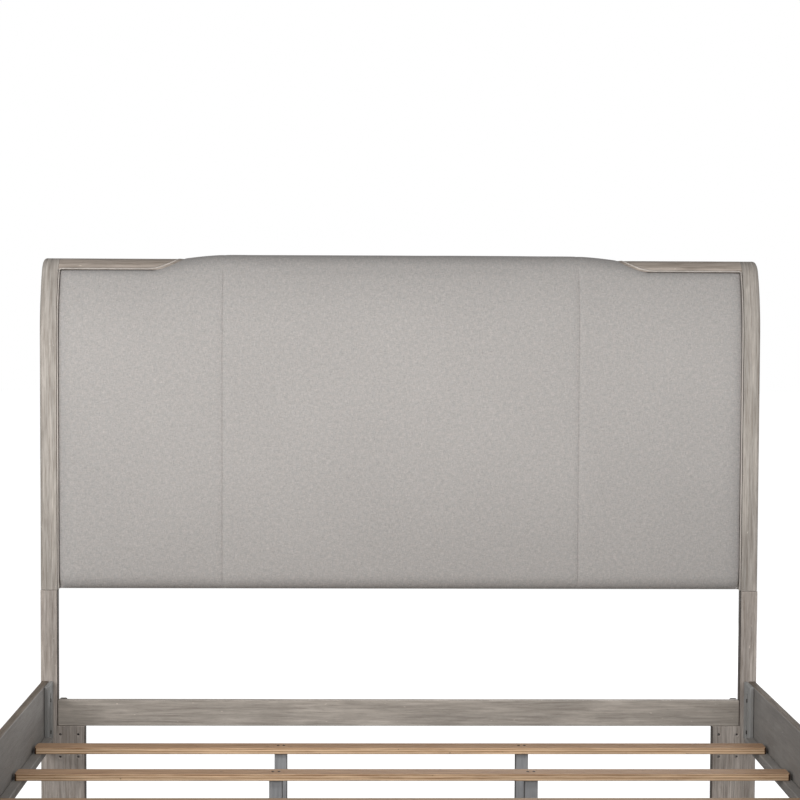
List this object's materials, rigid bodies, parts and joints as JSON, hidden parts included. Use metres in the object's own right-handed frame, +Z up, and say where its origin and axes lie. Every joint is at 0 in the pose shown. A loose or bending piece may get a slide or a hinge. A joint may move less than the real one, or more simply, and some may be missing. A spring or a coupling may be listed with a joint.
{
  "type": "sleigh bed",
  "caption": "King-size sleigh bed with an upholstered headboard that rolls back, a low matching footboard, wooden side rails and loose slats on legs.",
  "frame": {"origin": "on the floor under the middle of the bed's outer box", "axes": "+Y towards the headboard, +Z up, +X to the right seen from the foot end"},
  "size_m": [2.07, 2.3656, 1.64],
  "materials": {
    "post_wood": "weathered grey-beige oak, open grain, edges worn paler",
    "leg_wood": "the same oak, browner and more worn near the floor",
    "rail_wood": "dark grey wash over straight grain",
    "linen": "warm grey linen, plain weave with slubs",
    "plywood": "bare layered plywood, light edge, darker top",
    "grey_wood": "grey painted solid wood",
    "hidden_wood": "unfinished inner board"
  },
  "bodies": {
    "frame": {"headboard_post_left": "post_wood", "headboard_bead_left": "post_wood", "headboard_leg_left": "leg_wood", "headboard_post_right": "post_wood", "headboard_bead_right": "post_wood", "headboard_leg_right": "leg_wood", "headboard_top_rail": "post_wood", "headboard_bottom_rail": "hidden_wood", "headboard_core_board": "hidden_wood", "headboard_back_panel": "linen", "headboard_pad": "linen", "footboard_post_left": "post_wood", "footboard_bead_left": "post_wood", "footboard_leg_left": "leg_wood", "footboard_post_right": "post_wood", "footboard_bead_right": "post_wood", "footboard_leg_right": "leg_wood", "footboard_top_rail": "post_wood", "footboard_bottom_rail": "hidden_wood", "footboard_core_board": "hidden_wood", "footboard_back_panel": "linen", "footboard_pad": "linen", "headboard_corner_block_left": "leg_wood", "rail_left": "rail_wood", "cleat_left": "rail_wood", "head_block_left": "leg_wood", "foot_block_left": "leg_wood", "headboard_corner_block_right": "leg_wood", "rail_right": "rail_wood", "cleat_right": "rail_wood", "head_block_right": "leg_wood", "foot_block_right": "leg_wood", "headboard_stretcher": "leg_wood"},
    "slat_set_1": {"slat_1": "plywood", "slat_1_leg_left": "grey_wood", "slat_1_leg_right": "grey_wood"},
    "slat_set_2": {"slat_2": "plywood", "slat_2_leg_left": "grey_wood", "slat_2_leg_right": "grey_wood"},
    "slat_set_3": {"slat_3": "plywood", "slat_3_leg_left": "grey_wood", "slat_3_leg_right": "grey_wood"},
    "slat_set_4": {"slat_4": "plywood", "slat_4_leg_left": "grey_wood", "slat_4_leg_right": "grey_wood"},
    "slat_set_5": {"slat_5": "plywood", "slat_5_leg_left": "grey_wood", "slat_5_leg_right": "grey_wood"},
    "slat_set_6": {"slat_6": "plywood", "slat_6_leg_left": "grey_wood", "slat_6_leg_right": "grey_wood"}
  },
  "joints": [
    {"name": "slat_1_lift", "type": "slide", "parent": "frame", "child": "slat_set_1", "axis": [0, 0, 1], "range_m": [0, 0.16]},
    {"name": "slat_2_lift", "type": "slide", "parent": "frame", "child": "slat_set_2", "axis": [0, 0, 1], "range_m": [0, 0.16]},
    {"name": "slat_3_lift", "type": "slide", "parent": "frame", "child": "slat_set_3", "axis": [0, 0, 1], "range_m": [0, 0.16]},
    {"name": "slat_4_lift", "type": "slide", "parent": "frame", "child": "slat_set_4", "axis": [0, 0, 1], "range_m": [0, 0.16]},
    {"name": "slat_5_lift", "type": "slide", "parent": "frame", "child": "slat_set_5", "axis": [0, 0, 1], "range_m": [0, 0.16]},
    {"name": "slat_6_lift", "type": "slide", "parent": "frame", "child": "slat_set_6", "axis": [0, 0, 1], "range_m": [0, 0.16]}
  ]
}
